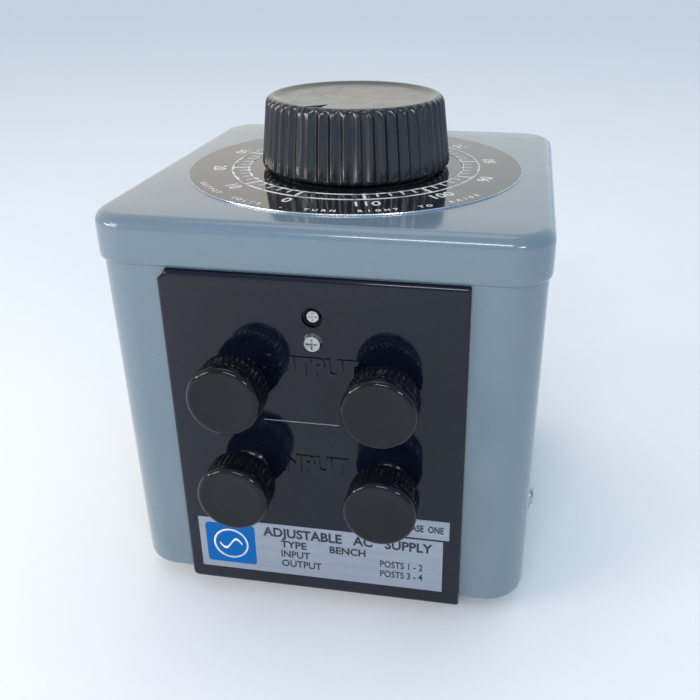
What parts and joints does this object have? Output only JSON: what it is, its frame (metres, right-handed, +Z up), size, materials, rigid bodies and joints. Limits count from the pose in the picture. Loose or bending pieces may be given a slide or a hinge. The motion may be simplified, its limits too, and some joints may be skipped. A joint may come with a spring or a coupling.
{
  "type": "variable autotransformer",
  "caption": "Bench variable autotransformer: square cast case with lid, round dial and fluted knob on top, screw-down binding posts on a front panel, toroidal winding with brush arm inside.",
  "frame": {"origin": "on the resting plane, under the middle of the whole outline; the shaft's axis stands at x 0, y +8.75 mm", "axes": "+Z up along the shaft, the terminal panel faces -Y, +X to the right seen from the front"},
  "size_m": [0.136, 0.1536, 0.1586],
  "materials": {
    "case_paint": "gloss blue-grey enamel",
    "gloss_black": "gloss",
    "knob_black": "semi-gloss moulded phenolic",
    "label_silver": "satin printed foil",
    "zinc_steel": "bright zinc",
    "black_rubber": "matte",
    "cast_aluminium": "as cast",
    "core_steel": "rolled strip",
    "enamelled_copper": "enamelled wire, bared on top",
    "insulation": "varnished board",
    "phenolic": "laminated board",
    "bronze": "sintered",
    "brass": "turned",
    "nickel": "nickel plate",
    "fibre_rod": "glass-fibre rod",
    "dark_steel": "blackened",
    "nylon": "natural nylon",
    "carbon": "pressed carbon",
    "lead_red": "PVC sleeving"
  },
  "bodies": {
    "case": {"case_body": "case_paint", "top_lid": "case_paint", "dial_plate": "gloss_black", "terminal_panel": "gloss_black", "rating_label": "label_silver", "origin_label": "label_silver", "panel_screw": "zinc_steel", "recessed_screw": "zinc_steel", "panel_nuts": "zinc_steel", "earth_screw": "zinc_steel", "earth_washer": "zinc_steel", "earth_nut": "zinc_steel", "rubber_feet": "black_rubber", "feet_screws": "zinc_steel", "feet_nuts": "zinc_steel", "base_plate": "cast_aluminium", "lid_pillars": "zinc_steel", "lid_screws": "zinc_steel", "toroid_core": "core_steel", "core_insulation": "insulation", "winding": "enamelled_copper", "lower_pad": "phenolic", "upper_pad": "phenolic", "centre_hub": "cast_aluminium", "hub_screws": "zinc_steel", "upper_bush": "bronze", "lower_bush": "bronze", "stop_pin": "zinc_steel", "takeoff_block": "phenolic", "takeoff_contact": "brass", "post_studs": "brass", "post_collars": "nickel", "post_bushes": "nylon", "post_nuts": "brass", "solder_tags": "nickel", "internal_leads": "lead_red"},
    "rotor": {"knob": "knob_black", "knob_insert": "brass", "knob_setscrew": "dark_steel", "shaft": "fibre_rod", "shaft_circlip": "dark_steel", "thrust_washer": "nylon", "brush_arm": "cast_aluminium", "arm_setscrew": "dark_steel", "slip_ring": "brass", "brush_holder": "brass", "brush_spring": "zinc_steel"},
    "brush": {"carbon_brush": "carbon"},
    "output_left_clamp": {"output_left_washer": "nickel"},
    "output_left_knob": {"output_left_insert": "brass", "output_left_cap": "knob_black"},
    "output_right_clamp": {"output_right_washer": "nickel"},
    "output_right_knob": {"output_right_insert": "brass", "output_right_cap": "knob_black"},
    "input_left_clamp": {"input_left_washer": "nickel"},
    "input_left_knob": {"input_left_insert": "brass", "input_left_cap": "knob_black"},
    "input_right_clamp": {"input_right_washer": "nickel"},
    "input_right_knob": {"input_right_insert": "brass", "input_right_cap": "knob_black"}
  },
  "joints": [
    {"name": "knob_turn", "type": "hinge", "parent": "case", "child": "rotor", "pos_m": [0, 0.00875, 0.12], "axis": [0, 0, -1], "range_deg": [-6, 324]},
    {"name": "brush_travel", "type": "slide", "parent": "rotor", "child": "brush", "axis": [0, 0, 1], "range_m": [0, 0.003], "stiffness_N_per_m": 400, "springref_m": -0.005, "deforming": ["brush_spring"]},
    {"name": "output_left_travel", "type": "slide", "parent": "case", "child": "output_left_clamp", "axis": [0, -1, 0], "range_m": [-0.0032, 0.0015]},
    {"name": "output_left_turn", "type": "hinge", "parent": "output_left_clamp", "child": "output_left_knob", "pos_m": [-0.0225, -0.07025, 0.0858], "axis": [0, -1, 0], "range_deg": [-1153, 541]},
    {"name": "output_right_travel", "type": "slide", "parent": "case", "child": "output_right_clamp", "axis": [0, -1, 0], "range_m": [-0.0032, 0.0015]},
    {"name": "output_right_turn", "type": "hinge", "parent": "output_right_clamp", "child": "output_right_knob", "pos_m": [0.0225, -0.07025, 0.0858], "axis": [0, -1, 0], "range_deg": [-1153, 541]},
    {"name": "input_left_travel", "type": "slide", "parent": "case", "child": "input_left_clamp", "axis": [0, -1, 0], "range_m": [-0.0032, 0.0015]},
    {"name": "input_left_turn", "type": "hinge", "parent": "input_left_clamp", "child": "input_left_knob", "pos_m": [-0.0225, -0.07025, 0.0521], "axis": [0, -1, 0], "range_deg": [-1153, 541]},
    {"name": "input_right_travel", "type": "slide", "parent": "case", "child": "input_right_clamp", "axis": [0, -1, 0], "range_m": [-0.0032, 0.0015]},
    {"name": "input_right_turn", "type": "hinge", "parent": "input_right_clamp", "child": "input_right_knob", "pos_m": [0.0225, -0.07025, 0.0521], "axis": [0, -1, 0], "range_deg": [-1153, 541]}
  ],
  "couplings": [
    {"joint": "output_left_turn", "follows": "output_left_travel", "rad_per_m": 6283.2},
    {"joint": "output_right_turn", "follows": "output_right_travel", "rad_per_m": 6283.2},
    {"joint": "input_left_turn", "follows": "input_left_travel", "rad_per_m": 6283.2},
    {"joint": "input_right_turn", "follows": "input_right_travel", "rad_per_m": 6283.2}
  ]
}
